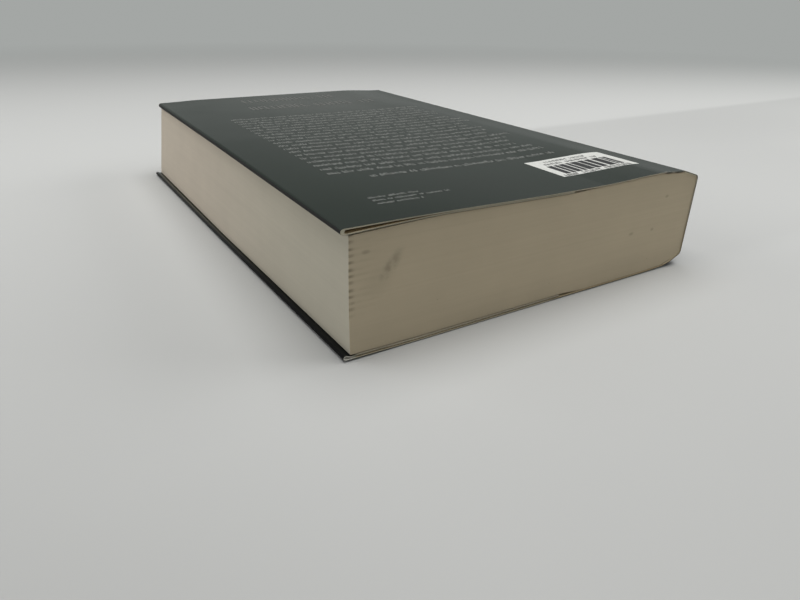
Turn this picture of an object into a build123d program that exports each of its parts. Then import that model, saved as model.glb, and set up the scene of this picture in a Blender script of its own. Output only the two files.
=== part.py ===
from build123d import *
from dataclasses import dataclass
from math import cos, radians, tan
import os

# A thick paperback that lies on its front cover, in millimetres.
# +X points to the spine, +Y to the head, +Z up. The origin is on the table, under the middle of the book.
# Inside this file x is measured from the leaves' fore edge and z from the table; place() gives the real X.

# Overall
book_height = 240.0
cover_width = 154.45
leaf_stack = 38.9

# Cover card and glue
card = 0.35
glue = 0.4
clear = 0.3
score_gap = 0.1
trim_step = 0.3

# Folds and flaps at the fore edge
flap_width = 87.0
flap_settle = 12.0
back_overhang = 2.0
back_fold_height = 1.7
back_fold_run = 38.0
back_slot = 0.1
back_bulb_run = 6.0
front_overhang = 2.3
front_fold_height = 1.7
front_bulb_run = 1.6
front_slot = 0.45
front_curl_run = 26.0
fore_dip = 0.2
fore_dip_from = 10.0
fore_dip_to = 30.0

# Height of the back cover: at the tail it stands high over the fold, at the head it swells in the middle
tail_rise = 1.65
tail_rise_from = 5.0
crease_from_score = 15.0
crease_run = 28.0
crease_lift = 0.6
score_drop = 0.25
head_swell = 1.0
head_fold_drop = 0.55
head_fold_run = 22.0
head_fall_from_score = 29.0
middle_rise = 0.45
middle_rise_run = 60.0

# Shoulders and spine
score_from_spine = 9.45
back_shoulder_slope = 17.5
back_corner_radius = 2.2
front_lift = 0.45
front_lift_run = 20.0
front_shoulder_slope = 13.5
front_turn_reach = 5.45
front_turn_radius = 6.0
spine_foot_rise = 4.1
spine_foot_radius = 2.0
spine_flare = 0.5
glue_reach = 9.0


@dataclass
class Station:
    """How the book is worn at one height of the page. A lean moves a fore edge away from the spine."""

    share: float
    leaf_lean: float
    leaf_top_lean: float
    fore_bow: float
    back_lean: float
    back_bulb: float
    crushed: float
    front_lean: float
    front_curl: float


tail = Station(
    share=0.0, leaf_lean=-0.15, leaf_top_lean=-0.65, fore_bow=0.22,
    back_lean=0.0, back_bulb=0.15, crushed=0.9, front_lean=0.0, front_curl=0.35)
middle = Station(
    share=0.5, leaf_lean=3.7, leaf_top_lean=-0.1, fore_bow=0.1,
    back_lean=-0.2, back_bulb=0.6, crushed=0.0, front_lean=3.65, front_curl=0.0)
head = Station(
    share=1.0, leaf_lean=6.2, leaf_top_lean=0.33, fore_bow=0.02,
    back_lean=-0.6, back_bulb=0.8, crushed=0.0, front_lean=6.8, front_curl=0.0)

# Places that follow from the sizes above
spine_x = cover_width - back_overhang
score_x = spine_x - score_from_spine
crease_x = score_x - crease_from_score
hollow_x = crease_x - crease_run
lift_x = score_x - front_lift_run
flap_end_x = flap_width - back_overhang
flap_join_x = flap_end_x + flap_settle
head_fall_x = score_x - head_fall_from_score
front_nose_x = front_fold_height / 2 - front_overhang
front_bulb_x = front_nose_x + front_bulb_run
curl_end_x = front_nose_x + front_curl_run
middle_top = card + clear + leaf_stack + clear + card
leaf_depth = card + glue
back_slope = radians(back_shoulder_slope)
front_slope = radians(front_shoulder_slope)


def eased(x, start, end):
    """A smooth step: 0 at the start, 1 at the end, level at both."""
    share = min(max((x - start) / (end - start), 0.0), 1.0)
    return share * share * (3 - 2 * share)


def leaned(x, lean):
    """The place of a point once its part leans: full at the fore edge, nothing at the score."""
    return x - lean * (score_x - x) / score_x


def tail_height(x):
    """Height of the back cover's outside at the tail: high over the flap, lifted again beside the crease."""
    over_flap = tail_rise * (1 - eased(x, tail_rise_from, hollow_x))
    at_crease = crease_lift * eased(x, hollow_x, crease_x)
    at_score = (crease_lift + score_drop) * eased(x, crease_x, score_x)
    return middle_top + over_flap + at_crease - at_score


def head_height(x):
    """Height of the back cover's outside at the head: an even swell that falls to the fold and the score."""
    at_fold = head_fold_drop * (1 - eased(x, -back_overhang, head_fold_run))
    at_score = (head_swell + score_drop) * eased(x, head_fall_x, score_x)
    return middle_top + head_swell - at_fold - at_score


def back_outer(x, worn):
    """Height of the back cover's outside at a station."""
    between = (1 - worn.share) * tail_height(x) + worn.share * head_height(x)
    swell = middle_rise * 4 * worn.share * (1 - worn.share)
    return between + swell * (1 - eased(x, -back_overhang, middle_rise_run))


def front_outer(x, worn):
    """Height of the front cover's outside: flat on the table, lifted towards the score and at a curled corner."""
    lifted = max(x - lift_x, 0.0) / front_lift_run
    curled = worn.front_curl * (1 - eased(x, front_nose_x, curl_end_x))
    return front_lift * lifted * lifted + curled


def back_nose_x(worn):
    """Middle of the back fold's round."""
    return (back_fold_height + worn.back_bulb) / 2 - back_overhang


def back_flap_gap(x, worn):
    """Space inside the back fold, which closes to a slot, with a bulb at the fold itself."""
    nose_x = back_nose_x(worn)
    open_gap = back_fold_height - 2 * card - back_slot
    bulb = worn.back_bulb * (1 - eased(x, nose_x, back_bulb_run))
    return back_slot + open_gap * (1 - eased(x, nose_x, back_fold_run)) + bulb


def front_flap_gap(x):
    """Space inside the front fold: a round bulb, then an even slot."""
    open_gap = front_fold_height - 2 * card - front_slot
    return front_slot + open_gap * (1 - eased(x, front_nose_x, front_bulb_x))


def leaf_high(x, worn):
    """Top of the leaves: clear of the back flap, then clear of the card alone, worn down at the fore edge."""
    flap = (card + back_flap_gap(x, worn)) * (1 - eased(x, flap_end_x, flap_join_x))
    dip = fore_dip * (1 - eased(x, fore_dip_from, fore_dip_to))
    return back_outer(x, worn) - card - flap - clear - dip


def leaf_low(x, worn):
    """Underside of the leaves: clear of the front cover and its flap, then clear of the card alone."""
    flap = (card + front_flap_gap(x)) * (1 - eased(x, flap_end_x, flap_join_x))
    return front_outer(x, worn) + card + flap + clear


def shoulder_low(x, depth):
    """Height of the front shoulder, at a depth inside the cover's outer surface."""
    rise = (x - score_x) * tan(front_slope)
    return front_lift + rise + depth / cos(front_slope)


def shoulder_high(x, depth):
    """Height of the back shoulder, at a depth inside the cover's outer surface."""
    fall = (x - score_x) * tan(back_slope)
    return middle_top - score_drop - fall - depth / cos(back_slope)


def book_middle():
    """Half way from the outermost point of the front fold, which is at the head, to the foot of the spine."""
    fold_tip = leaned(front_nose_x, head.front_lean) - front_fold_height / 2
    return (fold_tip + spine_x + spine_flare) / 2


def place(x, z):
    return (x - book_middle(), z)


def stops(start, end, *marks):
    """Both ends of a stretch and the marks that lie between them, in order from the start to the end."""
    inside = [mark for mark in marks if min(start, end) < mark < max(start, end)]
    return [start, *sorted(inside, reverse=start > end), end]


def edge_along(height, start, end, lean=0.0, steps=8):
    """One edge that follows a height function: a line where the height stays level, and smooth elsewhere."""
    nudge = 0.01
    inward = nudge if end > start else -nudge
    xs = [start + (end - start) * i / steps for i in range(steps + 1)]
    points = [place(leaned(x, lean), height(x)) for x in xs]
    if len({z for _, z in points}) == 1:
        return Line(points[0], points[-1])
    leave = (inward, height(start + inward) - height(start))
    arrive = (inward, height(end) - height(end - inward))
    return Spline(points, tangents=[leave, arrive])


def edges_along(height, lean, start, end, *marks):
    """Edges that follow a height function from one mark to the next."""
    stretch = stops(start, end, *marks)
    return [edge_along(height, a, b, lean) for a, b in zip(stretch, stretch[1:])]


def straight(start, end):
    return Line(place(*start), place(*end))


def moved_left(start, end, depth):
    """A point and direction of the line through two points, moved to its left by a depth."""
    along = Vector(end[0] - start[0], end[1] - start[1]).normalized()
    return Vector(start[0] - along.Y * depth, start[1] + along.X * depth), along


def crossing(first, second):
    """Where two lines meet, each given by a point and a direction."""
    (point, along), (other, across) = first, second
    gap = other - point
    reach = (gap.X * across.Y - gap.Y * across.X) / (along.X * across.Y - along.Y * across.X)
    return (point.X + along.X * reach, point.Y + along.Y * reach)


def spine_run(depth, start_x):
    """The way round the spine at a depth inside the cover: front shoulder, foot, spine, back shoulder."""
    turn_x = spine_x - front_turn_reach
    outline = [
        (score_x, shoulder_low(score_x, 0.0)),
        (turn_x, shoulder_low(turn_x, 0.0)),
        (spine_x + spine_flare, spine_foot_rise),
        (spine_x, shoulder_high(spine_x, 0.0)),
        (score_x, shoulder_high(score_x, 0.0)),
    ]
    sides = [moved_left(a, b, depth) for a, b in zip(outline, outline[1:])]
    turns = [crossing(a, b) for a, b in zip(sides, sides[1:])]
    first, last = (start_x, shoulder_low(start_x, depth)), (start_x, shoulder_high(start_x, depth))
    corners = [place(*point) for point in [first, *turns, last]]
    radii = [front_turn_radius, spine_foot_radius, back_corner_radius]
    return FilletPolyline(corners, radius=[radius - depth for radius in radii])


def face_across(edges, y):
    """A closed outline, stood up across the book at the height y of the page."""
    flat = Face(Wire([edge for item in edges for edge in item.edges()]))
    return Plane(origin=(0, y, 0), x_dir=(1, 0, 0), z_dir=(0, -1, 0)) * flat


def with_true_planes(solid, flatness=1e-5):
    """The same solid with each level face remade as a plane, so that the cover lies flat on the table."""
    faces = [Face(f.outer_wire()) if f.bounding_box().size.Z < flatness else f for f in solid.faces()]
    return Solid(Shell(faces))


def tail_to_head(section, inset=0.0):
    """A solid through its sections at the three stations, which ends inset inside the cover."""
    end_y = book_height / 2 - inset
    faces = [face_across(section(worn), (2 * worn.share - 1) * end_y) for worn in (tail, middle, head)]
    return with_true_planes(loft(faces, ruled=True))


def leaf_section(worn):
    """Outline of the leaves: along the table side, round the spine, back along the top, down the fore edge."""

    def low_side(x):
        return leaf_low(x, worn)

    def high_side(x):
        return leaf_high(x, worn)

    top = (leaned(0.0, worn.leaf_top_lean), high_side(0.0))
    foot = (leaned(0.0, worn.leaf_lean), low_side(0.0))
    waist = ((top[0] + foot[0]) / 2 - worn.fore_bow, (top[1] + foot[1]) / 2)
    high_marks = (crease_x, hollow_x, flap_join_x, flap_end_x, back_fold_run)
    return [
        *edges_along(low_side, worn.leaf_lean, 0.0, score_x, curl_end_x, flap_end_x, flap_join_x, lift_x),
        straight((score_x, low_side(score_x)), (score_x, shoulder_low(score_x, leaf_depth))),
        spine_run(leaf_depth, score_x),
        straight((score_x, shoulder_high(score_x, leaf_depth)), (score_x, high_side(score_x))),
        *edges_along(high_side, worn.leaf_top_lean, score_x, 0.0, *high_marks),
        Spline([place(*point) for point in (top, waist, foot)]),
    ]


def page_block():
    return tail_to_head(leaf_section, trim_step)


def spine_band(outer_depth, inner_depth, start_x, inset=0.0):
    """A band round the spine between two depths inside the cover's outer surface."""
    low = straight((start_x, shoulder_low(start_x, outer_depth)), (start_x, shoulder_low(start_x, inner_depth)))
    high = straight((start_x, shoulder_high(start_x, inner_depth)), (start_x, shoulder_high(start_x, outer_depth)))
    outline = [spine_run(outer_depth, start_x), low, spine_run(inner_depth, start_x), high]
    return extrude(face_across(outline, book_height / 2 - inset), amount=book_height - 2 * inset)


def binding_glue():
    return spine_band(card, leaf_depth, spine_x - glue_reach, trim_step)


def spine_cover():
    return spine_band(0.0, card, score_x + score_gap / 2)


def back_cover_section(worn):
    """Outline of the back cover card: panel, round fold, flap folded in under it."""
    start_x = score_x - score_gap / 2
    nose_x = back_nose_x(worn)
    hollow_end_x = nose_x + worn.crushed
    lean = worn.back_lean
    marks = (crease_x, hollow_x, back_fold_run)

    def outside(x):
        return back_outer(x, worn)

    def inside(x):
        return outside(x) - card

    def flap_inside(x):
        return inside(x) - back_flap_gap(x, worn)

    def flap_outside(x):
        return flap_inside(x) - card

    return [
        *edges_along(outside, lean, start_x, nose_x, *marks),
        fold_round(outside, flap_outside, nose_x, lean),
        *edges_along(flap_outside, lean, nose_x, flap_end_x, back_fold_run),
        card_end(flap_outside, flap_inside, flap_end_x, lean),
        *edges_along(flap_inside, lean, flap_end_x, hollow_end_x, back_fold_run),
        fold_round(inside, flap_inside, hollow_end_x, lean),
        *edges_along(inside, lean, hollow_end_x, start_x, *marks),
        card_end(inside, outside, start_x, lean),
    ]


def front_cover_section(worn):
    """Outline of the front cover card: panel on the table, round fold, flap folded in over it."""
    start_x = score_x - score_gap / 2
    lean = worn.front_lean

    def outside(x):
        return front_outer(x, worn)

    def inside(x):
        return outside(x) + card

    def flap_inside(x):
        return inside(x) + front_flap_gap(x)

    def flap_outside(x):
        return flap_inside(x) + card

    return [
        *edges_along(outside, lean, start_x, front_nose_x, lift_x, curl_end_x),
        fold_round(flap_outside, outside, front_nose_x, lean),
        *edges_along(flap_outside, lean, front_nose_x, flap_end_x, front_bulb_x, curl_end_x),
        card_end(flap_outside, flap_inside, flap_end_x, lean),
        *edges_along(flap_inside, lean, flap_end_x, front_nose_x, curl_end_x, front_bulb_x),
        fold_round(flap_inside, inside, front_nose_x, lean),
        *edges_along(inside, lean, front_nose_x, start_x, curl_end_x, lift_x),
        card_end(inside, outside, start_x, lean),
    ]


def fold_round(upper, lower, x, lean):
    """The round of a fold: half a circle that opens towards the spine, between two surfaces."""
    nose_x = leaned(x, lean)
    radius = (upper(x) - lower(x)) / 2
    tip = place(nose_x - radius, (upper(x) + lower(x)) / 2)
    return ThreePointArc(place(nose_x, upper(x)), tip, place(nose_x, lower(x)))


def card_end(first, last, x, lean):
    """The cut end of a card, from one of its surfaces to the other."""
    end_x = leaned(x, lean)
    return straight((end_x, first(x)), (end_x, last(x)))


def back_cover():
    return tail_to_head(back_cover_section)


def front_cover():
    return tail_to_head(front_cover_section)


pieces = {
    "page_block": page_block(),
    "binding_glue": binding_glue(),
    "spine_cover": spine_cover(),
    "back_cover": back_cover(),
    "front_cover": front_cover(),
}

os.makedirs("parts", exist_ok=True)
for name, piece in pieces.items():
    export_step(piece, f"parts/{name}.step")
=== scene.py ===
import math
import random

import bmesh
import bpy
from mathutils import Euler, Matrix, Vector


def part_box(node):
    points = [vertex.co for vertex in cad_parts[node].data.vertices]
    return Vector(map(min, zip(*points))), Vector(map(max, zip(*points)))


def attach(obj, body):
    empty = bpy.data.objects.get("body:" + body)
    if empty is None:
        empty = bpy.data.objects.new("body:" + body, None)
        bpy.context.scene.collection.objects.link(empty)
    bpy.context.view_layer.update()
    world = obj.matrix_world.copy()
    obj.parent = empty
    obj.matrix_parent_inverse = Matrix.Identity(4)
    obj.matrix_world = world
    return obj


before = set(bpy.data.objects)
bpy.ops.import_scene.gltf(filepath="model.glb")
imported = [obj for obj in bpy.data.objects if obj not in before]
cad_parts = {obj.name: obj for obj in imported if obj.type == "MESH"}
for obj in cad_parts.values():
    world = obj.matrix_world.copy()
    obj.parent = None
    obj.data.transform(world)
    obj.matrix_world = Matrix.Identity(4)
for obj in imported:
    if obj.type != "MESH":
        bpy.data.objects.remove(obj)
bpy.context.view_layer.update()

bl_info = {
    "name": "Paperback book dresser",
    "version": (1, 0, 0),
    "blender": (4, 5, 0),
    "location": "View3D > Sidebar > Book",
    "description": "Gives a thick paperback its paper, card, print and studio",
    "category": "Object",
}

MM = 0.001

# Places on the book, read from the frame
LEAVES_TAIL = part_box("page_block")[0].y
BACK_LOW, BACK_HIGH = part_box("back_cover")
SPINE_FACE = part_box("spine_cover")[1].x
TAIL = BACK_LOW.y
HEAD = BACK_HIGH.y
SCORE = BACK_HIGH.x
FOLD_OVERHANG = 2 * MM
FLAP_WIDTH = 87 * MM
FORE_EDGE = BACK_LOW.x + FOLD_OVERHANG
FLAP_END = BACK_LOW.x + FLAP_WIDTH


def span(base, start, end):
    """Two places that are given in millimetres from a base in metres."""
    return base + start * MM, base + end * MM


# Places where one look gives way to the next. Along x:
TICKS_SHORTEN = span(FORE_EDGE, 0.6, 2.6)
TICKS_END = span(FORE_EDGE, 4, 12)
DUST_STARTS = span(FORE_EDGE, 1, 3)
CUT_NOSE_ENDS = span(FORE_EDGE, 0.4, 1.6)
RAW_NOSE_ENDS = span(FORE_EDGE, 1.2, 2.6)
WORN_CORNER_ENDS = span(FORE_EDGE, 3, 16)
BROWNING_ENDS = span(FORE_EDGE, 6, 26)
FLAP_CARD_ENDS = span(FLAP_END, -8, 2)
FOLD_INSIDE_ENDS = span(FLAP_END, -6, 6)
TILT_STARTS = span(0, 53, 58)
TILT_ENDS = span(0, 65, 70)
SCORE_MIDDLE = SCORE - 18 * MM
SCORE_REACH = span(0, 18, 28)
SPINE_CARD_STARTS = span(SCORE, -1, 2)
SPINE_FACE_STARTS = span(SPINE_FACE, -4, -2)

# Along y, most of them at both ends alike:
# Where the painted shade on the low fold fades out along y
FOLD_SHADE_FADES = span(0, -75, 35)
RAW_SOILED = span(HEAD, -14, -4)
RAW_RIM = span(HEAD, -4, -1.5)
DUSTY_RIM = span(HEAD, -2.5, -0.5)
SHADE_ENDS = span(HEAD, -2, 14)

# Along z:
LOW_NOSE_ENDS = span(0, 3, 5)
LOW_CARD_ENDS = span(0, 12, 20)
HIGH_CARD_STARTS = span(0, 15, 25)

# Where a mark's edge lies within a noise, a wave or a card's rim, which run from 0 to 1
TICK_EDGE = (0.14, 0.42)
TICK_WEAR_EDGE = (0.30, 0.60)
SMUDGE_EDGE = (0.36, 0.62)
CLOUD_EDGE = (0.3, 0.7)
FIBRE_EDGE = (0.35, 0.65)
CHIP_EDGE = (0.52, 0.60)
WORN_EDGE = (0.1, 0.7)
RIM_EDGE = (0.6, 0.85)

# Noises: cells per metre, detail and, where they run along one way, their stretch
LEAF_LAYERS = {"scale": 1.0, "detail": 2.0, "stretch": (6, 6, 1500)}
LEAF_BANDS = {"scale": 1.0, "detail": 2.0, "stretch": (10, 10, 300)}
LEAF_MOTTLE = {"scale": 60.0, "detail": 4.0}
SMUDGE_GRAIN = {"scale": 420.0, "detail": 3.0}
TICK_WANDER = {"scale": 260.0, "detail": 1.0, "stretch": (0, 1, 1)}
TICK_WEAR = {"scale": 330.0, "detail": 1.0}
GLUE_CLOUD = {"scale": 900.0, "detail": 3.0}
CARD_FIBRE = {"scale": 2500.0, "detail": 3.0}
CARD_CLOUD = {"scale": 14.0, "detail": 3.0}
CARD_RUBBING = {"scale": 45.0, "detail": 4.0}
CARD_GRAIN = {"scale": 1100.0, "detail": 2.0}
INK_WEAR = {"scale": 700.0, "detail": 3.0}
FLOOR_CLOUD = {"scale": 9.0, "detail": 3.0}

# How strongly the noises and the painted shade by the covers show, and how matt and bumpy the surfaces are
LAYERS_SHOW = 0.08
BANDS_SHOW = 0.06
MOTTLE_SHOWS = 0.12
ENDS_PAINTED_SHADE = -0.07
FLOOR_CLOUD_SHOWS = 0.08
RUBBING_SHOWS = 0.06
SATIN = 0.22
MATT_ADDED = 0.55
BUMP_HEIGHTS = {"leaves": 0.03 * MM, "glue": 0.05 * MM, "card": 0.004 * MM}

# How bright a look is beside the colour it comes from, and how far dirt and the painted fold shade go
WARMER_HEAD = (1.10, 1.04, 1.05)
CLOUDED_PRINT = 1.3
DUSTY_CARD = 0.9
FIBRE_DIMS = 0.88
BROWNED_FLAP = 0.78
OUTER_CARD = 1.7
WORN_CORNER = 1.35
SPINE_CARD = 0.45
THIN_INK = 0.75
# Painted shade: how dark the floor is painted in front
NEAR_FLOOR_SHADE = 0.75
DIRTY_FIBRES = 0.22
MOST_FOLD_SHADE = 0.88

# What is left of a mark where it is weakest, and how far the ticks wander up and down
SHORT_TICKS = 0.16
WORN_TICKS = 0.35
WORN_SMUDGE = 0.25
TICK_WANDERS = 0.8

# Marks on the tail end: middle in x and z and reach in x, y and z in millimetres, turn in degrees
SMUDGE = {"x": -57.8, "z": 28.2, "reach": (7.5, 20, 2.8), "turn": -52.7}
SMUDGE_SHADE = {"x": -62, "z": 24, "reach": (8, 20, 6), "turn": -40.0}
# The foot mark is a painted shadow where the card turns up under the spine
FOOT_SHADOW = {"x": 74.5, "z": 1.4, "reach": (7.0, 2, 1.3), "turn": -10.0}
SCORE_NICK = {"x": 61.8, "z": 40.4, "reach": (3.2, 2, 0.9), "turn": 7.0}
SCORE_DIRT = {"x": 68.0, "z": 39.9, "reach": (4.5, 2, 0.7), "turn": 5.0}
STAINS = tuple({"x": x, "z": z, "reach": (wide, 2, 0.9)} for x, z, wide in (
    (64.0, 30.9, 1.4), (59.2, 18.4, 1.3), (47.2, 18.6, 1.8), (-66.1, 33.8, 2.0)))
SPECKS = {"spacing": 6 * MM, "size": 0.35 * MM, "share": 0.3}
LEAF_MARK_DEPTHS = {
    "ticks": 0.44, "smudge": 0.26, "shade": 0.07, "specks": 0.16, "stains": 0.22, "dirt": 0.7}

# Other marks: middle and reach in metres
HAZE = ((12 * MM, 95 * MM, 41 * MM), (62 * MM, 90 * MM, 30 * MM))
WORN_SPOTS = (
    ((61.5 * MM, TAIL, 41 * MM), (3 * MM, 1.8 * MM, 2 * MM)),
    ((FORE_EDGE, TAIL, 40 * MM), (2 * MM, 1.2 * MM, 3 * MM)),
    ((FORE_EDGE, HEAD, 40 * MM), (2 * MM, 1.5 * MM, 3 * MM)),
    ((SPINE_FACE, TAIL, 20 * MM), (3 * MM, 0.8 * MM, 30 * MM)),
    ((SPINE_FACE, HEAD, 20 * MM), (3 * MM, 0.8 * MM, 30 * MM)),
)
# Painted shade on the floor, each patch with its depth: left in front, on the right, and a painted shadow
# under the spine's foot
PAINTED_FLOOR_SHADES = (
    ((-0.20, -0.20, 0), (0.13, 0.13, 1), 0.09),
    ((0.40, -0.03, 0), (0.22, 0.22, 1), 0.07),
    ((0.0750, TAIL + 3 * MM, 0), (0.0065, 0.005, 1), 0.75),
)

# Fixed colours
BLACK = (0, 0, 0)
WHITE = (1, 1, 1)
DULL_TINT = (0.05, 0.05, 0.05)
# Painted shade on the fold side of the card
FOLD_SHADE_COLOUR = (0.004, 0.0038, 0.0036)
GLUE_COLOURS = (0.42, 0.36, 0.24), (0.60, 0.54, 0.40)
RAW_NOSE_COLOUR = (0.76, 0.74, 0.68)
RAW_SCORE_COLOUR = (0.74, 0.70, 0.58)
CUT_NOSE_COLOUR = (0.62, 0.61, 0.55)
WHITE_INK = (0.77, 0.775, 0.735)
BLACK_INK = (0.016, 0.016, 0.017)

# The stage: sizes and places in metres, the film's width in millimetres, and heights of the wall's colours
FILM_WIDTH = 36
NEAREST_SEEN = 5 * MM
TOP_LAMP = (0.0, 0.0, 1.0)
LEFT_LAMP = (-0.9, 0.5, 0.45)
RIGHT_LAMP = (1.0, -0.3, 0.45)
TOP_LAMP_SIZE = 1.0
SIDE_LAMP_SIZE = 0.9
SKY_COLOUR = (0.98, 1.0, 0.99)
WALL_SLANT = -0.12
WALL_HEIGHTS = (0.0, 0.05, 0.30)
FLOOR_SIZE = 12.0
FLOOR_DROP = 0.3 * MM
FLOOR_FADES = (0.36, 1.3)
FOLD_SLANT = 6.8 * MM
SHADE_REACH = 20 * MM
SHADE_DEPTHS = (0.04, 0.13)

# The print: lines as base, start and end in millimetres from the tail and the fore edge
LOW_BLURB_LINE = (43, 31, 117)
CREDIT_LINES = ((20.6, 17.8, 36.0), (17.6, 17.8, 46.2), (14.4, 17.8, 34.6))
TITLE_LINES = ((218, 42, 100), (193, 38.5, 114))
DIGIT_LINE = (15.1, 96.0, 131.0)
CAPTION_LINES = ((29.6, 99.5, 127.5), (32.6, 102, 124))
BLURB_CELL = (0.32 * MM, 0.50 * MM)
CREDIT_CELL = (0.22 * MM, 0.26 * MM)
TITLE_CELL = (1.2 * MM, 1.3 * MM)
DIGIT_CELL = (0.50 * MM, 0.40 * MM)
CAPTION_CELL = (0.42 * MM, 0.36 * MM)
TEXT_ROWS = 7
CODE_ROWS = 5
SEEDS = {"blurb": 7, "credits": 11, "titles": 5, "bars": 150, "captions": 4}
SHORTEST_LINE = 0.86
WORD_CELLS = (8, 14, 20, 27, 35, 44)
STROKE_GAPS = (2, 3, 3)
WORD_GAP = 4
TALL_SHARE = 0.2
DEEP_FROM = 0.93
TIED_SHARE = 0.6
FIELD_X = span(FORE_EDGE, 94.3, 134.5)
FIELD_Y = span(TAIL, 14.4, 36.1)
BARS_X = span(FORE_EDGE, 98.3, 130.4)
BARS_Y = span(TAIL, 17.4, 28.0)
BAR_WIDTHS = (1.1, 1.8, 2.7, 3.6)
BAR_GAPS = (0.6, 0.8, 1.2)
SHEET_CELL = 1.0 * MM
DROP_HEIGHT = BACK_HIGH.z + 5 * MM


class StageSettings(bpy.types.PropertyGroup):
    """The camera, the lamps and the pale floor."""

    camera_place: bpy.props.FloatVectorProperty(
        name="Camera place", description="Where the camera stands",
        default=(-0.13758, -0.25576, 0.09725), size=3, subtype="TRANSLATION", unit="LENGTH")
    camera_heading: bpy.props.FloatProperty(
        name="Camera heading", description="Turn of the view from +Y towards +X",
        default=math.radians(31.35), subtype="ANGLE", unit="ROTATION")
    camera_pitch: bpy.props.FloatProperty(
        name="Camera pitch", description="How far the view points below level",
        default=math.radians(27.03), subtype="ANGLE", unit="ROTATION")
    camera_roll: bpy.props.FloatProperty(
        name="Camera roll", description="Tilt of the camera about its own view",
        default=math.radians(0.95), subtype="ANGLE", unit="ROTATION")
    lens: bpy.props.FloatProperty(
        name="Lens", description="Focal length in millimetres on a 36 mm frame",
        default=26.74, min=10.0, max=200.0)
    floor_colour: bpy.props.FloatVectorProperty(
        name="Floor colour", description="The pale sheet the book lies on",
        default=(0.62, 0.625, 0.61), size=3, min=0.0, max=1.0, subtype="COLOR")
    backdrop_colour: bpy.props.FloatVectorProperty(
        name="Backdrop colour", description="What stands far behind the floor",
        default=(0.37, 0.385, 0.375), size=3, min=0.0, max=1.0, subtype="COLOR")
    lit_wall_colour: bpy.props.FloatVectorProperty(
        name="Lit wall colour", description="The lit foot of the wall, which the cover reflects",
        default=(0.395, 0.40, 0.38), size=3, min=0.0, max=1.0, subtype="COLOR")
    upper_wall_colour: bpy.props.FloatVectorProperty(
        name="Upper wall colour", description="The dim wall high behind the book",
        default=(0.125, 0.14, 0.13), size=3, min=0.0, max=1.0, subtype="COLOR")
    sky_strength: bpy.props.FloatProperty(
        name="Sky strength", description="Even light from all round", default=0.06, min=0.0, max=5.0)
    top_watts: bpy.props.FloatProperty(
        name="Top lamp", description="Power of the large soft lamp overhead",
        default=9.1, min=0.0, max=200.0, unit="POWER")
    left_watts: bpy.props.FloatProperty(
        name="Left lamp", description="Power of the soft lamp on the fore edge's side",
        default=4.1, min=0.0, max=200.0, unit="POWER")
    right_watts: bpy.props.FloatProperty(
        name="Right lamp", description="Power of the soft lamp on the spine's side",
        default=7.7, min=0.0, max=200.0, unit="POWER")


class LeafSettings(bpy.types.PropertyGroup):
    """The cut edges of the leaves."""

    fore_colour: bpy.props.FloatVectorProperty(
        name="Fore edge colour", description="Cut paper at the fore edge",
        default=(0.53, 0.497, 0.405), size=3, min=0.0, max=1.0, subtype="COLOR")
    tail_colour: bpy.props.FloatVectorProperty(
        name="Tail and head colour", description="Cut paper at the tail and the head",
        default=(0.50, 0.428, 0.305), size=3, min=0.0, max=1.0, subtype="COLOR")
    signature: bpy.props.FloatProperty(
        name="Signature thickness", description="Height of one folded bundle of leaves",
        default=2.08 * MM, min=0.5 * MM, max=10 * MM, unit="LENGTH", precision=5)


class CoverSettings(bpy.types.PropertyGroup):
    """The printed card."""

    print_colour: bpy.props.FloatVectorProperty(
        name="Printed colour", description="Dark print on the outside of the card",
        default=(0.0060, 0.0105, 0.0070), size=3, min=0.0, max=1.0, subtype="COLOR")
    haze_colour: bpy.props.FloatVectorProperty(
        name="Haze colour", description="Faint paler field printed by the head",
        default=(0.036, 0.040, 0.035), size=3, min=0.0, max=1.0, subtype="COLOR")
    raw_colour: bpy.props.FloatVectorProperty(
        name="Raw card colour", description="Unprinted inside of the card",
        default=(0.56, 0.51, 0.41), size=3, min=0.0, max=1.0, subtype="COLOR")
    aged_colour: bpy.props.FloatVectorProperty(
        name="Aged card colour", description="Browned inside of the folds by the tail and the head",
        default=(0.46, 0.37, 0.23), size=3, min=0.0, max=1.0, subtype="COLOR")
    pale_cut_colour: bpy.props.FloatVectorProperty(
        name="Pale cut colour", description="Cut edge of the card where it is folded double",
        default=(0.37, 0.345, 0.26), size=3, min=0.0, max=1.0, subtype="COLOR")
    plain_cut_colour: bpy.props.FloatVectorProperty(
        name="Plain cut colour", description="Cut edge of the upper card past its flap",
        default=(0.43, 0.385, 0.29), size=3, min=0.0, max=1.0, subtype="COLOR")
    # Partly painted shade: past its flap the lower card's edge lies in the floor's contact shadow
    dark_cut_colour: bpy.props.FloatVectorProperty(
        name="Soiled cut colour", description="Cut edge of the lower card past its flap and of the spine",
        default=(0.20, 0.195, 0.14), size=3, min=0.0, max=1.0, subtype="COLOR")
    # Also used for painted shade: the dark rim at the foot of the lower card's edge and the shadow at the
    # spine's foot
    dirt_and_shade_colour: bpy.props.FloatVectorProperty(
        name="Dirt colour", description="Worn dark rim of the lower card's cut edge",
        default=(0.045, 0.042, 0.032), size=3, min=0.0, max=1.0, subtype="COLOR")


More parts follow.
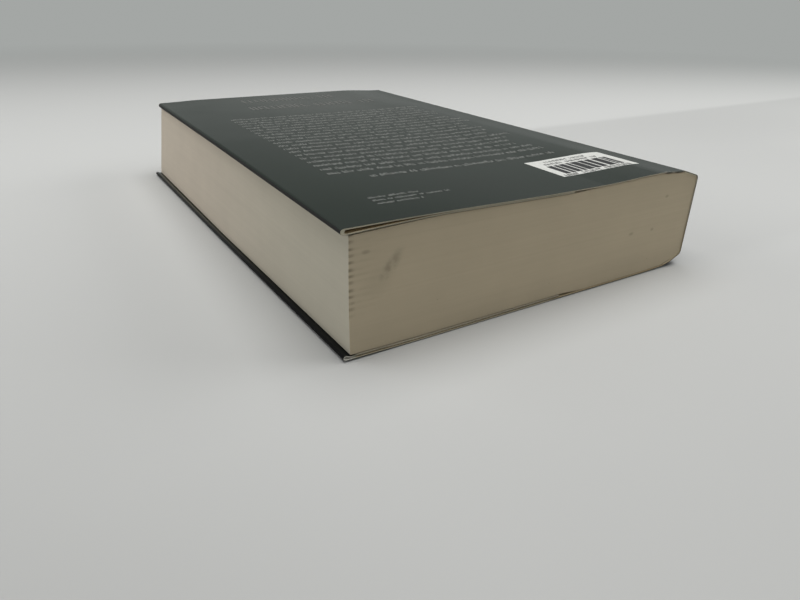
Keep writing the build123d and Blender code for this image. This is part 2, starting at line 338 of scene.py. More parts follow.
class PrintSettings(bpy.types.PropertyGroup):
    """The layout of the print on the back cover, measured from the fore edge and the tail."""

    ink_colour: bpy.props.FloatVectorProperty(
        name="Ink colour", description="Pale ink of the text lines",
        default=(0.220, 0.225, 0.211), size=3, min=0.0, max=1.0, subtype="COLOR")
    title_colour: bpy.props.FloatVectorProperty(
        name="Title colour", description="Dimmer ink of the two title lines",
        default=(0.115, 0.115, 0.108), size=3, min=0.0, max=1.0, subtype="COLOR")
    left_margin: bpy.props.FloatProperty(
        name="Left margin", description="From the fore edge to the text",
        default=18.6 * MM, unit="LENGTH", precision=5)
    first_line: bpy.props.FloatProperty(
        name="Lowest line", description="From the tail to the lowest full line",
        default=51.6 * MM, unit="LENGTH", precision=5)
    line_pitch: bpy.props.FloatProperty(
        name="Line pitch", description="From one line of text to the next",
        default=5.95 * MM, unit="LENGTH", precision=5)
    line_count: bpy.props.IntProperty(
        name="Lines", description="Number of full lines", default=20, min=1, max=40)
    measure: bpy.props.FloatProperty(
        name="Measure", description="Width of a full line of text",
        default=111 * MM, unit="LENGTH", precision=5)
    ink_height: bpy.props.FloatProperty(
        name="Ink height", description="How far the print stands on the card",
        default=0.02 * MM, unit="LENGTH", precision=6)


def only(*objects):
    """Selects these objects and nothing else."""
    bpy.ops.object.select_all(action="DESELECT")
    for item in objects:
        item.select_set(True)
    bpy.context.view_layer.objects.active = objects[0]


def apply_modifiers(piece):
    """Makes a piece's modifiers part of its mesh, in their order."""
    only(piece)
    for modifier in list(piece.modifiers):
        bpy.ops.object.modifier_apply(modifier=modifier.name)


def settle(piece, material, body):
    """Applies a finished piece's place, gives it its material and makes it ride on its body."""
    only(piece)
    bpy.ops.object.transform_apply(location=True, rotation=True, scale=True)
    piece.data.materials.clear()
    piece.data.materials.append(material)
    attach(piece, body)


def scaled(colour, share):
    """A colour made darker or brighter."""
    return tuple(share * part for part in colour)


class Recipe:
    """One material under construction: short calls that add and link its nodes."""

    def __init__(self, name):
        self.material = bpy.data.materials.new(name)
        self.material.use_nodes = True
        self.tree = self.material.node_tree
        self.shader = self.tree.nodes["Principled BSDF"]

    def node(self, kind, **values):
        made = self.tree.nodes.new(kind)
        for key, value in values.items():
            setattr(made, key, value)
        return made

    def plug(self, source, socket):
        """Links a socket to another, or sets it to a plain value."""
        if isinstance(source, bpy.types.NodeSocket):
            self.tree.links.new(source, socket)
        else:
            socket.default_value = (*source, 1.0) if socket.type == "RGBA" else source

    def finish_surface(self, roughness, specular=0.5):
        """Sets the shader's own constants."""
        self.shader.inputs["Roughness"].default_value = roughness
        self.shader.inputs["Specular IOR Level"].default_value = specular

    def calculate(self, operation, first, second=0.0, third=0.0, clamp=False):
        made = self.node("ShaderNodeMath", operation=operation, use_clamp=clamp)
        for source, socket in zip((first, second, third), made.inputs):
            self.plug(source, socket)
        return made.outputs[0]

    def multiply(self, first, *others):
        """The product of two or more values."""
        for other in others:
            first = self.calculate("MULTIPLY", first, other)
        return first

    def largest(self, first, *others):
        """The largest of two or more values."""
        for other in others:
            first = self.calculate("MAXIMUM", first, other)
        return first

    def opposite(self, value):
        """1 where a value is 0, and 0 where it is 1."""
        return self.calculate("SUBTRACT", 1.0, value)

    def distance(self, value, middle=0.0):
        """How far a value is from a middle one, on either side."""
        return self.calculate("ABSOLUTE", self.calculate("SUBTRACT", value, middle))

    def place(self):
        """The point on the piece in the book's own frame, as a vector and as x, y and z."""
        point = self.node("ShaderNodeTexCoord").outputs["Object"]
        parts = self.node("ShaderNodeSeparateXYZ")
        self.plug(point, parts.inputs[0])
        return point, parts.outputs[0], parts.outputs[1], parts.outputs[2]

    def rise(self, value, start, end, low=0.0, high=1.0):
        """A smooth step up: low before the start and high past the end."""
        made = self.node("ShaderNodeMapRange", interpolation_type="SMOOTHSTEP")
        for source, socket in zip((value, start, end, low, high), made.inputs):
            self.plug(source, socket)
        return made.outputs[0]

    def fall(self, value, start, end, low=0.0, high=1.0):
        """A smooth step down: high before the start and low past the end."""
        return self.rise(value, start, end, high, low)

    def noise(self, point, scale, detail, stretch=(1, 1, 1)):
        mapping = self.node("ShaderNodeMapping")
        self.plug(point, mapping.inputs["Vector"])
        mapping.inputs["Scale"].default_value = stretch
        made = self.node("ShaderNodeTexNoise")
        self.plug(mapping.outputs[0], made.inputs["Vector"])
        made.inputs["Scale"].default_value = scale
        made.inputs["Detail"].default_value = detail
        return made.outputs["Fac"]

    def specks(self, point, spacing, size, share):
        """Scattered round specks: 1 in a speck, 0 elsewhere."""
        cells = self.node("ShaderNodeTexVoronoi")
        self.plug(point, cells.inputs["Vector"])
        cells.inputs["Scale"].default_value = 1 / spacing
        parts = self.node("ShaderNodeSeparateColor")
        self.plug(cells.outputs["Color"], parts.inputs[0])
        chosen = self.calculate("LESS_THAN", parts.outputs[0], share)
        return self.multiply(chosen, self.fall(cells.outputs["Distance"], size / spacing / 2, size / spacing))

    def blend(self, factor, first, second):
        """A colour between two colours."""
        made = self.node("ShaderNodeMix", data_type="RGBA")
        self.plug(factor, made.inputs["Factor"])
        self.plug(first, made.inputs[6])
        self.plug(second, made.inputs[7])
        return made.outputs[2]

    def swing(self, source, depth, level):
        """Adds a source's swing about its middle to a level."""
        return self.calculate("MULTIPLY_ADD", self.calculate("SUBTRACT", source, 0.5), depth, level)

    def tint(self, colour, tone):
        """Sends a colour times a tone to the base colour."""
        toned = self.node("ShaderNodeVectorMath", operation="SCALE")
        self.plug(colour, toned.inputs[0])
        self.plug(tone, toned.inputs["Scale"])
        self.plug(toned.outputs[0], self.shader.inputs["Base Color"])

    def patch(self, point, middle, reach, turn=0.0):
        """A soft oval mark: 1 in its middle and 0 past its reach. The turn is in degrees about Y."""
        mapping = self.node("ShaderNodeMapping", vector_type="TEXTURE")
        self.plug(point, mapping.inputs["Vector"])
        mapping.inputs["Location"].default_value = middle
        mapping.inputs["Rotation"].default_value = (0, math.radians(turn), 0)
        mapping.inputs["Scale"].default_value = reach
        length = self.node("ShaderNodeVectorMath", operation="LENGTH")
        self.plug(mapping.outputs[0], length.inputs[0])
        full_share = 0.25
        return self.fall(length.outputs["Value"], full_share, 1.0)

    def tail_mark(self, point, x, z, reach, turn=0.0):
        """A soft oval mark on the tail end. Sizes in millimetres."""
        return self.patch(point, (x * MM, TAIL, z * MM), scaled(reach, MM), turn)

    def attribute(self, name):
        return self.node("ShaderNodeAttribute", attribute_name=name).outputs["Fac"]

    def bump(self, height, distance, strength=0.5):
        made = self.node("ShaderNodeBump")
        self.plug(height, made.inputs["Height"])
        made.inputs["Distance"].default_value = distance
        made.inputs["Strength"].default_value = strength
        self.plug(made.outputs[0], self.shader.inputs["Normal"])


def leaf_material():
    """Cut paper in layers and signatures, with dirt, painted shade, knife ticks and stains at its ends."""
    look = bpy.context.scene.book_leaves
    recipe = Recipe("leaf_edges")
    point, x, y, z = recipe.place()
    cut_depth = 0.2 * MM
    at_end = recipe.calculate("GREATER_THAN", recipe.distance(y), -LEAVES_TAIL - cut_depth)
    fore, tail = tuple(look.fore_colour), tuple(look.tail_colour)
    warm = tuple(share * part for share, part in zip(WARMER_HEAD, fore))
    side = recipe.blend(recipe.rise(y, TAIL, HEAD / 2), fore, warm)
    layers = recipe.noise(point, **LEAF_LAYERS)
    tone = recipe.swing(layers, LAYERS_SHOW, 1.0)
    tone = recipe.swing(recipe.noise(point, **LEAF_BANDS), BANDS_SHOW, tone)
    tone = recipe.swing(recipe.noise(point, **LEAF_MOTTLE), MOTTLE_SHOWS, tone)
    # Painted shade: the tail and the head grow darker towards the covers above and below
    half_height = 20 * MM
    off_middle = recipe.calculate("MULTIPLY_ADD", z, 1 / half_height, -1.0)
    shade_by_covers = recipe.multiply(off_middle, off_middle, at_end)
    tone = recipe.calculate("MULTIPLY_ADD", shade_by_covers, ENDS_PAINTED_SHADE, tone)
    for name, mark in leaf_marks(recipe, look, point, x, z, at_end).items():
        tone = recipe.calculate("SUBTRACT", tone, recipe.multiply(mark, LEAF_MARK_DEPTHS[name]))
    recipe.tint(recipe.blend(at_end, side, tail), tone)
    recipe.finish_surface(roughness=0.85, specular=0.25)
    recipe.bump(layers, BUMP_HEIGHTS["leaves"], strength=0.6)
    return recipe.material


def leaf_marks(recipe, look, point, x, z, at_end):
    """The dirt and the painted shadow on the leaves by name: 1 in a mark and 0 beside it."""
    broken = recipe.rise(recipe.noise(point, **SMUDGE_GRAIN), *SMUDGE_EDGE, low=WORN_SMUDGE)
    return {
        "ticks": knife_ticks(recipe, point, x, z, at_end, look.signature),
        "smudge": recipe.multiply(recipe.tail_mark(point, **SMUDGE), broken),
        "shade": recipe.tail_mark(point, **SMUDGE_SHADE),
        "specks": recipe.specks(point, **SPECKS),
        "stains": recipe.largest(*(recipe.tail_mark(point, **stain) for stain in STAINS)),
        # Painted shadow at the spine's foot, and dark nicks by the back score
        "dirt": tail_shadow_and_dirt(recipe, point),
    }


def knife_ticks(recipe, point, x, z, at_end, pitch):
    """Short dark ticks where the knife cut each bundle of leaves at the fore corner."""
    wander = recipe.multiply(recipe.noise(point, **TICK_WANDER), TICK_WANDERS)
    wave = recipe.calculate("PINGPONG", recipe.calculate("MULTIPLY_ADD", z, 1 / pitch, wander), 0.5)
    return recipe.multiply(
        at_end,
        recipe.rise(wave, *TICK_EDGE),
        recipe.fall(x, *TICKS_SHORTEN, low=SHORT_TICKS),
        recipe.fall(x, *TICKS_END),
        recipe.rise(z, *LOW_CARD_ENDS),
        recipe.rise(recipe.noise(point, **TICK_WEAR), *TICK_WEAR_EDGE, low=WORN_TICKS))


def tail_shadow_and_dirt(recipe, point):
    """Dark marks at the tail: a painted shadow where the card turns up under the spine, and two nicks beside
    the back score.
    """
    return recipe.largest(*(recipe.tail_mark(point, **mark) for mark in (FOOT_SHADOW, SCORE_NICK, SCORE_DIRT)))


def glue_material():
    """Cloudy hot-melt glue."""
    recipe = Recipe("hot_melt_glue")
    cloud = recipe.noise(recipe.place()[0], **GLUE_CLOUD)
    recipe.plug(recipe.blend(cloud, *GLUE_COLOURS), recipe.shader.inputs["Base Color"])
    recipe.finish_surface(roughness=0.45)
    recipe.bump(cloud, BUMP_HEIGHTS["glue"])
    return recipe.material


def card_material():
    """Laminated card: satin print outside, raw card inside, and worn cut edges, with painted shade on the
    fold and under the book.
    """
    look = bpy.context.scene.book_cover
    recipe = Recipe("printed_card")
    point, x, y, z = recipe.place()
    raw = recipe.attribute("raw_side")
    cut = recipe.attribute("cut_edge")
    fold = recipe.attribute("fold_side")
    leaf_side = recipe.attribute("leaf_side")
    low = recipe.fall(z, *LOW_CARD_ENDS)
    # Painted shade: the low fold and the ledge by the tail get the dark fold colour and less reflection
    fold_shade = recipe.multiply(
        recipe.largest(fold, leaf_side), low, recipe.fall(y, *FOLD_SHADE_FADES, high=MOST_FOLD_SHADE))
    fold = recipe.largest(fold, fold_shade)
    fibre = recipe.noise(point, **CARD_FIBRE)
    printed = printed_colour(recipe, look, point, fold)
    dusty_rim = recipe.multiply(recipe.rise(recipe.distance(y), *DUSTY_RIM), recipe.rise(x, *DUST_STARTS))
    dust = scaled(look.plain_cut_colour, DUSTY_CARD)
    printed = recipe.blend(recipe.multiply(leaf_side, dusty_rim), printed, dust)
    printed = recipe.blend(worn_spots(recipe, point, fibre), printed, tuple(look.pale_cut_colour))
    colour = recipe.blend(raw, printed, raw_side_colour(recipe, look, x, y, z, fibre))
    colour = recipe.blend(cut, colour, cut_colour(recipe, look, point, x, low, fibre))
    recipe.plug(colour, recipe.shader.inputs["Base Color"])
    satin = recipe.calculate("MULTIPLY_ADD", recipe.noise(point, **CARD_RUBBING), RUBBING_SHOWS, SATIN)
    matt = recipe.calculate("MULTIPLY_ADD", recipe.largest(raw, cut, fold), MATT_ADDED, satin, clamp=True)
    recipe.plug(matt, recipe.shader.inputs["Roughness"])
    tilted = recipe.multiply(recipe.rise(x, *TILT_STARTS), recipe.fall(x, *TILT_ENDS))
    mirroring = recipe.blend(recipe.largest(fold_shade, tilted), WHITE, DULL_TINT)
    recipe.plug(mirroring, recipe.shader.inputs["Specular Tint"])
    recipe.bump(recipe.noise(point, **CARD_GRAIN), BUMP_HEIGHTS["card"])
    return recipe.material


def printed_colour(recipe, look, point, fold):
    """The dark print: cloudy, with a paler field by the head, and folds darkened as painted shade."""
    cloud = recipe.rise(recipe.noise(point, **CARD_CLOUD), *CLOUD_EDGE)
    printed = recipe.blend(cloud, tuple(look.print_colour), scaled(look.print_colour, CLOUDED_PRINT))
    printed = recipe.blend(recipe.patch(point, *HAZE), printed, tuple(look.haze_colour))
    return recipe.blend(fold, printed, FOLD_SHADE_COLOUR)


def raw_side_colour(recipe, look, x, y, z, fibre):
    """The unprinted side: pale, but brown by the tail and the head in the folds and wherever it is low."""
    fresh = recipe.blend(fibre, scaled(look.raw_colour, FIBRE_DIMS), tuple(look.raw_colour))
    from_middle = recipe.distance(y)
    high = recipe.rise(z, *HIGH_CARD_STARTS)
    hidden = recipe.largest(recipe.fall(x, *FOLD_INSIDE_ENDS), recipe.opposite(high))
    browned = recipe.multiply(recipe.rise(from_middle, *RAW_SOILED), hidden)
    inside = recipe.blend(browned, fresh, tuple(look.aged_colour))
    low_nose = recipe.multiply(recipe.fall(x, *RAW_NOSE_ENDS), recipe.fall(z, *LOW_NOSE_ENDS))
    inside = recipe.blend(low_nose, inside, RAW_NOSE_COLOUR)
    by_score = recipe.fall(recipe.distance(x, SCORE_MIDDLE), *SCORE_REACH)
    by_score = recipe.multiply(by_score, recipe.rise(from_middle, *RAW_RIM), high)
    return recipe.blend(by_score, inside, RAW_SCORE_COLOUR)


def cut_colour(recipe, look, point, x, low, fibre):
    """The card's cut edge: pale at the folds, and darker under the book and round the spine, partly as
    painted shade.
    """
    pale = tuple(look.pale_cut_colour)
    plain = tuple(look.plain_cut_colour)
    dark_cut = tuple(look.dark_cut_colour)
    dirt = tuple(look.dirt_and_shade_colour)
    past_flap = recipe.rise(x, *FLAP_CARD_ENDS)
    lower = lower_cut_colour(recipe, x, low, past_flap, (pale, dark_cut, dirt))
    upper = recipe.blend(past_flap, pale, plain)
    upper = recipe.blend(recipe.fall(x, *WORN_CORNER_ENDS), upper, scaled(pale, WORN_CORNER))
    edge = recipe.blend(low, upper, lower)
    edge = recipe.blend(recipe.rise(x, *SPINE_CARD_STARTS), edge, dark_cut)
    edge = recipe.blend(recipe.rise(x, *SPINE_FACE_STARTS), edge, scaled(dark_cut, SPINE_CARD))
    # Painted shadow at the spine's foot, and dark nicks by the back score
    edge = recipe.blend(tail_shadow_and_dirt(recipe, point), edge, dirt)
    return recipe.blend(recipe.rise(fibre, *FIBRE_EDGE, high=DIRTY_FIBRES), edge, dirt)


def lower_cut_colour(recipe, x, low, past_flap, colours):
    """The front cover's cut edge: pale outside, browned at the flap, with a dark rim of painted shade and a
    pale nose.
    """
    pale, dark_cut, dirt = colours
    flap = recipe.attribute("flap_edge")
    rim = recipe.attribute("print_rim")
    # Partly painted shade: past its flap this edge lies in the floor's contact shadow
    edge = recipe.blend(past_flap, pale, dark_cut)
    browned = recipe.multiply(flap, recipe.fall(x, *BROWNING_ENDS))
    edge = recipe.blend(browned, edge, scaled(pale, BROWNED_FLAP))
    outer = recipe.multiply(recipe.opposite(flap), recipe.opposite(past_flap))
    edge = recipe.blend(outer, edge, scaled(pale, OUTER_CARD))
    # Painted shade: the dark rim at the foot of the lower card's edge stands for the dark gap under the card
    dark_rim = recipe.multiply(recipe.rise(rim, *RIM_EDGE), recipe.calculate("SUBTRACT", low, flap))
    edge = recipe.blend(dark_rim, edge, dirt)
    nose = recipe.multiply(recipe.fall(x, *CUT_NOSE_ENDS), recipe.fall(rim, *RIM_EDGE))
    return recipe.blend(nose, edge, CUT_NOSE_COLOUR)


def worn_spots(recipe, point, fibre):
    """Small pale spots where the print has rubbed off at the corners of the card."""
    worn = recipe.largest(*(recipe.patch(point, middle, reach) for middle, reach in WORN_SPOTS))
    return recipe.multiply(recipe.rise(worn, *WORN_EDGE), recipe.rise(fibre, *CHIP_EDGE))


def ink_material(name, colour):
    """Matt ink that is worn thin in places."""
    recipe = Recipe(name)
    wear = recipe.noise(recipe.place()[0], **INK_WEAR)
    worn = recipe.blend(wear, scaled(colour, THIN_INK), tuple(colour))
    recipe.plug(worn, recipe.shader.inputs["Base Color"])
    recipe.finish_surface(roughness=0.5)
    return recipe.material


def mark_card_faces(node, inward):
    """Notes which faces of a card are raw, cut, folded or a flap's edge, and how near the print they come."""
    mesh = node.data
    for name in ("raw_side", "cut_edge", "fold_side", "flap_edge", "leaf_side"):
        mesh.attributes.new(name, "FLOAT", "FACE")
    mesh.attributes.new("print_rim", "FLOAT", "POINT")
    notes = mesh.attributes
    lift, fold_gap, tolerance = 0.01 * MM, 4 * MM, 0.1 * MM
    straight_across, end_facing, level = 0.98, 0.9, 0.5
    turned_out = -0.3 if inward == 1 else -0.75
    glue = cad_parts["binding_glue"]
    middle = (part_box(node.name)[0].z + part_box(node.name)[1].z) / 2
    printed_corners = set()
    for face in mesh.polygons:
        centre, normal = face.center, face.normal
        at_card_end = any(abs(centre.x - end) < tolerance for end in (FLAP_END, SCORE))
        start = centre + lift * normal
        hit = node.ray_cast(start, normal, distance=fold_gap)[0]
        glued = inward == 0 and glue.ray_cast(start, normal, distance=fold_gap)[0]
        past_flap = centre.x > FLAP_END and normal.z * inward > level
        is_cut = abs(normal.y) > end_facing or (abs(normal.x) > straight_across and at_card_end)
        is_raw = bool(hit or past_flap or glued) and not is_cut
        is_printed = not is_cut and not is_raw
        notes["cut_edge"].data[face.index].value = float(is_cut)
        notes["raw_side"].data[face.index].value = float(is_raw)
        notes["fold_side"].data[face.index].value = float(is_printed and normal.x < turned_out)
        notes["leaf_side"].data[face.index].value = float(is_printed and normal.z * inward > level)
        notes["flap_edge"].data[face.index].value = float(is_cut and inward == 1 and centre.z > middle)
        if is_printed:
            printed_corners.update(corner_key(mesh.vertices[number].co) for number in face.vertices)
    for corner in mesh.vertices:
        notes["print_rim"].data[corner.index].value = float(corner_key(corner.co) in printed_corners)


def corner_key(place):
    """A corner's place in whole microns, so that touching corners count as one."""
    return tuple(round(part / (0.001 * MM)) for part in place)


class BOOK_OT_stage(bpy.types.Operator):
    """Sets the camera, the soft lamps, the world and the pale floor"""

    bl_idname = "book.stage"
    bl_label = "Set the stage"

    def execute(self, context):
        look = context.scene.book_stage
        self.add_camera(context, look)
        self.add_lamp("top_softbox", TOP_LAMP, TOP_LAMP_SIZE, look.top_watts)
        self.add_lamp("left_softbox", LEFT_LAMP, SIDE_LAMP_SIZE, look.left_watts, mirrored=False)
        self.add_lamp("right_softbox", RIGHT_LAMP, SIDE_LAMP_SIZE, look.right_watts, mirrored=False)
        self.colour_world(context, look)
        self.lay_floor(look)
        context.scene.view_settings.view_transform = "Standard"
        return {"FINISHED"}

    def add_camera(self, context, look):
        bpy.ops.object.camera_add(location=look.camera_place)
        camera = context.object
        aim = Euler((math.pi / 2 - look.camera_pitch, 0, -look.camera_heading)).to_matrix()
        camera.rotation_euler = (aim @ Matrix.Rotation(look.camera_roll, 3, "Z")).to_euler()
        camera.data.sensor_width = FILM_WIDTH
        camera.data.lens = look.lens
        camera.data.clip_start = NEAREST_SEEN
        context.scene.camera = camera

    def add_lamp(self, name, place, size, watts, mirrored=True):
        """A soft lamp that points at the book. The satin card shows a mirrored one as a white box."""
        bpy.ops.object.light_add(type="AREA", location=place)
        lamp = bpy.context.object
        lamp.name = name
        lamp.data.size = size
        lamp.data.energy = watts
        lamp.rotation_euler = (-Vector(place)).to_track_quat("-Z", "Y").to_euler()
        lamp.visible_glossy = mirrored

    def colour_world(self, context, look):
        """Even light on the book, and a wall in three colours that is seen and mirrored."""
        world = bpy.data.worlds.new("studio")
        world.use_nodes = True
        tree = world.node_tree
        light = tree.nodes["Background"]
        light.inputs["Color"].default_value = (*SKY_COLOUR, 1)
        light.inputs["Strength"].default_value = look.sky_strength
        ways = tree.nodes.new("ShaderNodeSeparateXYZ")
        tree.links.new(tree.nodes.new("ShaderNodeTexCoord").outputs["Generated"], ways.inputs[0])
        height = tree.nodes.new("ShaderNodeMath")
        height.operation = "MULTIPLY_ADD"
        height.inputs[1].default_value = WALL_SLANT
        tree.links.new(ways.outputs[0], height.inputs[0])
        tree.links.new(ways.outputs[2], height.inputs[2])
        fade = tree.nodes.new("ShaderNodeValToRGB")
        tree.links.new(height.outputs[0], fade.inputs["Fac"])
        fade.color_ramp.interpolation = "EASE"
        level, top = fade.color_ramp.elements
        foot = fade.color_ramp.elements.new(WALL_HEIGHTS[1])
        level.position, top.position = WALL_HEIGHTS[0], WALL_HEIGHTS[2]
        level.color = (*look.backdrop_colour, 1)
        foot.color = (*look.lit_wall_colour, 1)
        top.color = (*look.upper_wall_colour, 1)
        seen = tree.nodes.new("ShaderNodeBackground")
        tree.links.new(fade.outputs["Color"], seen.inputs["Color"])
        mix = tree.nodes.new("ShaderNodeMixShader")
        tree.links.new(seen_directly(tree), mix.inputs["Fac"])
        tree.links.new(light.outputs[0], mix.inputs[1])
        tree.links.new(seen.outputs[0], mix.inputs[2])
        tree.links.new(mix.outputs[0], tree.nodes["World Output"].inputs["Surface"])
        context.scene.world = world

    def lay_floor(self, look):
        """The pale sheet, which fades into the backdrop far off. It lies just under the book."""
        bpy.ops.object.select_all(action="DESELECT")
        bpy.ops.mesh.primitive_plane_add(size=FLOOR_SIZE, location=(0, 0, -FLOOR_DROP))
        floor = bpy.context.object
        floor.name = "floor"
        recipe = Recipe("pale_sheet")
        point, x, y, _ = recipe.place()
        recipe.plug(self.sheet_colour(recipe, look, point, x, y), recipe.shader.inputs["Base Color"])
        recipe.finish_surface(roughness=0.8, specular=0.2)
        from_book = recipe.calculate(
            "SQRT", recipe.calculate("ADD", recipe.multiply(x, x), recipe.multiply(y, y)))
        faded = recipe.multiply(recipe.rise(from_book, *FLOOR_FADES), seen_directly(recipe.tree))
        far = recipe.node("ShaderNodeEmission")
        far.inputs["Color"].default_value = (*look.backdrop_colour, 1)
        mix = recipe.node("ShaderNodeMixShader")
        recipe.plug(faded, mix.inputs["Fac"])
        recipe.plug(recipe.shader.outputs[0], mix.inputs[1])
        recipe.plug(far.outputs[0], mix.inputs[2])
        recipe.plug(mix.outputs[0], recipe.tree.nodes["Material Output"].inputs["Surface"])
        floor.data.materials.append(recipe.material)

    def sheet_colour(self, recipe, look, point, x, y):
        """The floor's colour, with painted shade: darker in front, in a few soft places and along the front
        cover's fold.
        """
        near = tuple(look.floor_colour)
        # Painted shade: the floor is painted darker towards the front and the left
        dim_from, dim_over = 0.35, 0.45
        right_share, far_share = 0.3, 0.95
        across = recipe.calculate("MULTIPLY_ADD", y, far_share, recipe.multiply(x, right_share))
        shade = recipe.calculate("MULTIPLY_ADD", across, 1 / dim_over, dim_from / dim_over)
        cloud = recipe.calculate("SUBTRACT", recipe.noise(point, **FLOOR_CLOUD), 0.5)
        shade = recipe.calculate("MULTIPLY_ADD", cloud, FLOOR_CLOUD_SHOWS, shade, clamp=True)
        colour = recipe.blend(shade, scaled(near, NEAR_FLOOR_SHADE), near)
        # Painted shade in soft patches, and a painted shadow under the spine's foot
        for middle, reach, depth in PAINTED_FLOOR_SHADES:
            dimmed = recipe.multiply(recipe.patch(point, middle, reach), depth)
            colour = recipe.blend(dimmed, colour, BLACK)
        return recipe.blend(self.fore_edge_shade(recipe, x, y), colour, BLACK)

    def fore_edge_shade(self, recipe, x, y):
        """The soft contact shade along the front cover's slanting fold, deeper towards the head."""
        slant = FOLD_SLANT / (HEAD - TAIL)
        past_fold = recipe.calculate("MULTIPLY_ADD", y, slant, recipe.calculate("ADD", x, -BACK_LOW.x))
        near = recipe.rise(past_fold, -SHADE_REACH, 0.0)
        inside = recipe.fall(recipe.distance(y), *SHADE_ENDS)
        at_tail, at_head = SHADE_DEPTHS
        return recipe.multiply(near, inside, recipe.rise(y, TAIL, HEAD, at_tail, at_head))


def seen_directly(tree):
    """1 for camera, glossy and transmission rays, and 0 for the light that falls on things."""
    path = tree.nodes.new("ShaderNodeLightPath")
    either = path.outputs["Is Camera Ray"]
    for name in ("Is Glossy Ray", "Is Transmission Ray"):
        larger = tree.nodes.new("ShaderNodeMath")
        larger.operation = "MAXIMUM"
        tree.links.new(either, larger.inputs[0])
        tree.links.new(path.outputs[name], larger.inputs[1])
        either = larger.outputs[0]
    return either


class BOOK_OT_leaves(bpy.types.Operator):
    """Gives the block of leaves its cut paper edges"""

    bl_idname = "book.leaves"
    bl_label = "Dress the leaves"

    def execute(self, context):
        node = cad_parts["page_block"]
        node.data.materials[0] = leaf_material()
        return {"FINISHED"}


class BOOK_OT_glue(bpy.types.Operator):
    """Gives the spine's glue its finish"""

    bl_idname = "book.glue"
    bl_label = "Dress the glue"

    def execute(self, context):
        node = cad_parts["binding_glue"]
        node.data.materials[0] = glue_material()
        return {"FINISHED"}


class BOOK_OT_covers(bpy.types.Operator):
    """Gives the three parts of the cover card their print, raw side and cut edges"""

    bl_idname = "book.covers"
    bl_label = "Dress the covers"

    def execute(self, context):
        card = card_material()
        for name, inward in (("back_cover", -1), ("front_cover", 1), ("spine_cover", 0)):
            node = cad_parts[name]
            mark_card_faces(node, inward)
            node.data.materials[0] = card
        return {"FINISHED"}


def ink_cells(columns, rows, chance, level):
    """The cells of one text line that hold ink: strokes in words, many tied by a short bar."""
    low, high = (0, rows) if level else (1, rows - 2)
    kept = set()
    column = 0
    while column < columns:
        word_end = min(column + chance.choice(WORD_CELLS), columns)
        while column < word_end:
            draw = chance.random()
            foot = 0 if draw > DEEP_FROM else low
            top = rows if draw < TALL_SHARE else high
            kept.update((column, row) for row in range(foot, top))
            gap = chance.choice(STROKE_GAPS)
            if chance.random() < TIED_SHARE:
                bar = chance.choice((low, high - 1))
                kept.update((column + step, bar) for step in range(1, gap))
            column += gap
        column += WORD_GAP
    return kept


def flat_grid(low_x, low_y, wide, high, columns, rows):
    """A flat grid of faces above the back cover, by its lower left corner."""
    bpy.ops.object.select_all(action="DESELECT")
    bpy.ops.mesh.primitive_grid_add(
        x_subdivisions=columns, y_subdivisions=rows, size=1.0,
        location=(low_x + wide / 2, low_y + high / 2, DROP_HEIGHT))
    grid = bpy.context.object
    grid.scale = (wide, high, 1.0)
    bpy.ops.object.transform_apply(location=True, rotation=True, scale=True)
    return grid


def print_line(start, end, base, cell, chance, rows=TEXT_ROWS, level=False):
    """One line of text as a flat grid of which only the inked cells are left. Sizes in metres."""
    cell_wide, cell_high = cell
    columns = max(1, round((end - start) / cell_wide))
    low_y = base - cell_high
    line = flat_grid(start, low_y, columns * cell_wide, rows * cell_high, columns, rows)
    kept = ink_cells(columns, rows, chance, level)
    bpy.ops.object.mode_set(mode="EDIT")
    mesh = bmesh.from_edit_mesh(line.data)
    for face in mesh.faces:
        centre = face.calc_center_median()
        found = (int((centre.x - start) / cell_wide), int((centre.y - low_y) / cell_high))
        face.select_set(found not in kept)
    bmesh.update_edit_mesh(line.data)
    bpy.ops.mesh.delete(type="FACE")
    bpy.ops.object.mode_set(mode="OBJECT")
    return line


def placed_line(line, cell, chance, rows=TEXT_ROWS, level=True):
    """A line of text from its base, start and end in millimetres from the tail and the fore edge."""
    base, start, end = line
    return print_line(*span(FORE_EDGE, start, end), TAIL + base * MM, cell, chance, rows, level)


def lay_on_cover(piece, lift, thickness):
    """Drops a flat piece onto the back cover and gives it its thickness."""
    wrap = piece.modifiers.new("drop", "SHRINKWRAP")
    wrap.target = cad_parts["back_cover"]
    wrap.wrap_method = "PROJECT"
    wrap.use_project_z = True
    wrap.use_negative_direction = True
    wrap.use_positive_direction = False
    wrap.offset = lift
    solid = piece.modifiers.new("ink", "SOLIDIFY")
    solid.thickness = thickness
    solid.offset = 1.0
    apply_modifiers(piece)


def join_pieces(pieces, name):
    """Joins pieces into one and names it."""
    only(*pieces)
    if len(pieces) > 1:
        bpy.ops.object.join()
    piece = bpy.context.object
    piece.name = name
    piece.data.name = name
    return piece


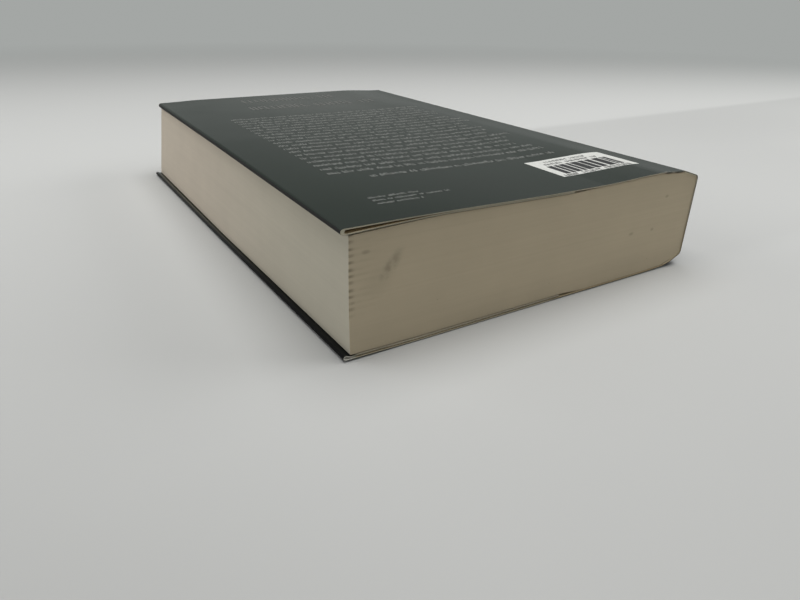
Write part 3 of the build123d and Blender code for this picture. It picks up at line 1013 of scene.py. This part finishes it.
class BOOK_OT_text(bpy.types.Operator):
    """Prints the greeked text lines on the back cover"""

    bl_idname = "book.text"
    bl_label = "Print the text lines"

    def execute(self, context):
        look = context.scene.book_print
        ink = ink_material("pale_ink", look.ink_colour)
        dim = ink_material("dim_ink", look.title_colour)
        self.finish(self.blurb(look), "blurb_text", ink, look)
        self.finish(self.credits(), "credit_text", ink, look)
        self.finish(self.titles(), "title_text", dim, look)
        return {"FINISHED"}

    def finish(self, lines, name, ink, look):
        piece = join_pieces(lines, name)
        lay_on_cover(piece, look.ink_height / 2, look.ink_height)
        settle(piece, ink, "back_cover")

    def blurb(self, look):
        chance = random.Random(SEEDS["blurb"])
        left = FORE_EDGE + look.left_margin
        lines = []
        for number in range(look.line_count):
            base = TAIL + look.first_line + number * look.line_pitch
            end = left + look.measure * chance.uniform(SHORTEST_LINE, 1.0)
            lines.append(print_line(left, end, base, BLURB_CELL, chance))
        lines.append(placed_line(LOW_BLURB_LINE, BLURB_CELL, chance, level=False))
        return lines

    def credits(self):
        chance = random.Random(SEEDS["credits"])
        return [placed_line(line, CREDIT_CELL, chance, level=False) for line in CREDIT_LINES]

    def titles(self):
        chance = random.Random(SEEDS["titles"])
        return [placed_line(line, TITLE_CELL, chance) for line in TITLE_LINES]


class BOOK_OT_code(bpy.types.Operator):
    """Prints the white retail field with its plain bars on the back cover"""

    bl_idname = "book.code"
    bl_label = "Print the code field"

    def execute(self, context):
        look = context.scene.book_print
        field = self.sheet(*FIELD_X, *FIELD_Y)
        field.name = "code_field"
        lay_on_cover(field, look.ink_height / 2, look.ink_height / 2)
        settle(field, ink_material("white_ink", WHITE_INK), "back_cover")
        bars = join_pieces(self.bars() + self.captions(), "code_bars")
        lay_on_cover(bars, 2 * look.ink_height, look.ink_height / 2)
        settle(bars, ink_material("black_ink", BLACK_INK), "back_cover")
        return {"FINISHED"}

    def sheet(self, left, right, low, high):
        """A flat rectangle with cells small enough to follow the cover."""
        columns = max(1, round((right - left) / SHEET_CELL))
        rows = max(1, round((high - low) / SHEET_CELL))
        return flat_grid(left, low, right - left, high - low, columns, rows)

    def bars(self):
        chance = random.Random(SEEDS["bars"])
        x, end = BARS_X
        made = []
        while x < end:
            wide = chance.choice(BAR_WIDTHS) * MM
            made.append(self.sheet(x, min(x + wide, end), *BARS_Y))
            x += wide + chance.choice(BAR_GAPS) * MM
        return made

    def captions(self):
        chance = random.Random(SEEDS["captions"])
        digits = [placed_line(DIGIT_LINE, DIGIT_CELL, chance, CODE_ROWS)]
        return digits + [placed_line(line, CAPTION_CELL, chance, CODE_ROWS) for line in CAPTION_LINES]


class BOOK_PT_panel(bpy.types.Panel):
    """Lists the steps and their settings"""

    bl_idname = "BOOK_PT_panel"
    bl_label = "Paperback book"
    bl_space_type = "VIEW_3D"
    bl_region_type = "UI"
    bl_category = "Book"

    def draw(self, context):
        for step in STEPS:
            self.layout.operator(step.bl_idname)
        for name in GROUPS:
            group = getattr(context.scene, name)
            box = self.layout.box()
            for field in group.__annotations__:
                box.prop(group, field)


STEPS = (BOOK_OT_stage, BOOK_OT_leaves, BOOK_OT_glue, BOOK_OT_covers, BOOK_OT_text, BOOK_OT_code)
GROUPS = {
    "book_stage": StageSettings,
    "book_leaves": LeafSettings,
    "book_cover": CoverSettings,
    "book_print": PrintSettings,
}
CLASSES = (*GROUPS.values(), *STEPS, BOOK_PT_panel)


def register():
    for kind in CLASSES:
        bpy.utils.register_class(kind)
    for name, kind in GROUPS.items():
        setattr(bpy.types.Scene, name, bpy.props.PointerProperty(type=kind))


def unregister():
    for name in GROUPS:
        delattr(bpy.types.Scene, name)
    for kind in reversed(CLASSES):
        bpy.utils.unregister_class(kind)


def main():
    register()
    bpy.ops.book.stage()
    bpy.ops.book.leaves()
    bpy.ops.book.glue()
    bpy.ops.book.covers()
    bpy.ops.book.text()
    bpy.ops.book.code()


if __name__ == "__main__":
    main()
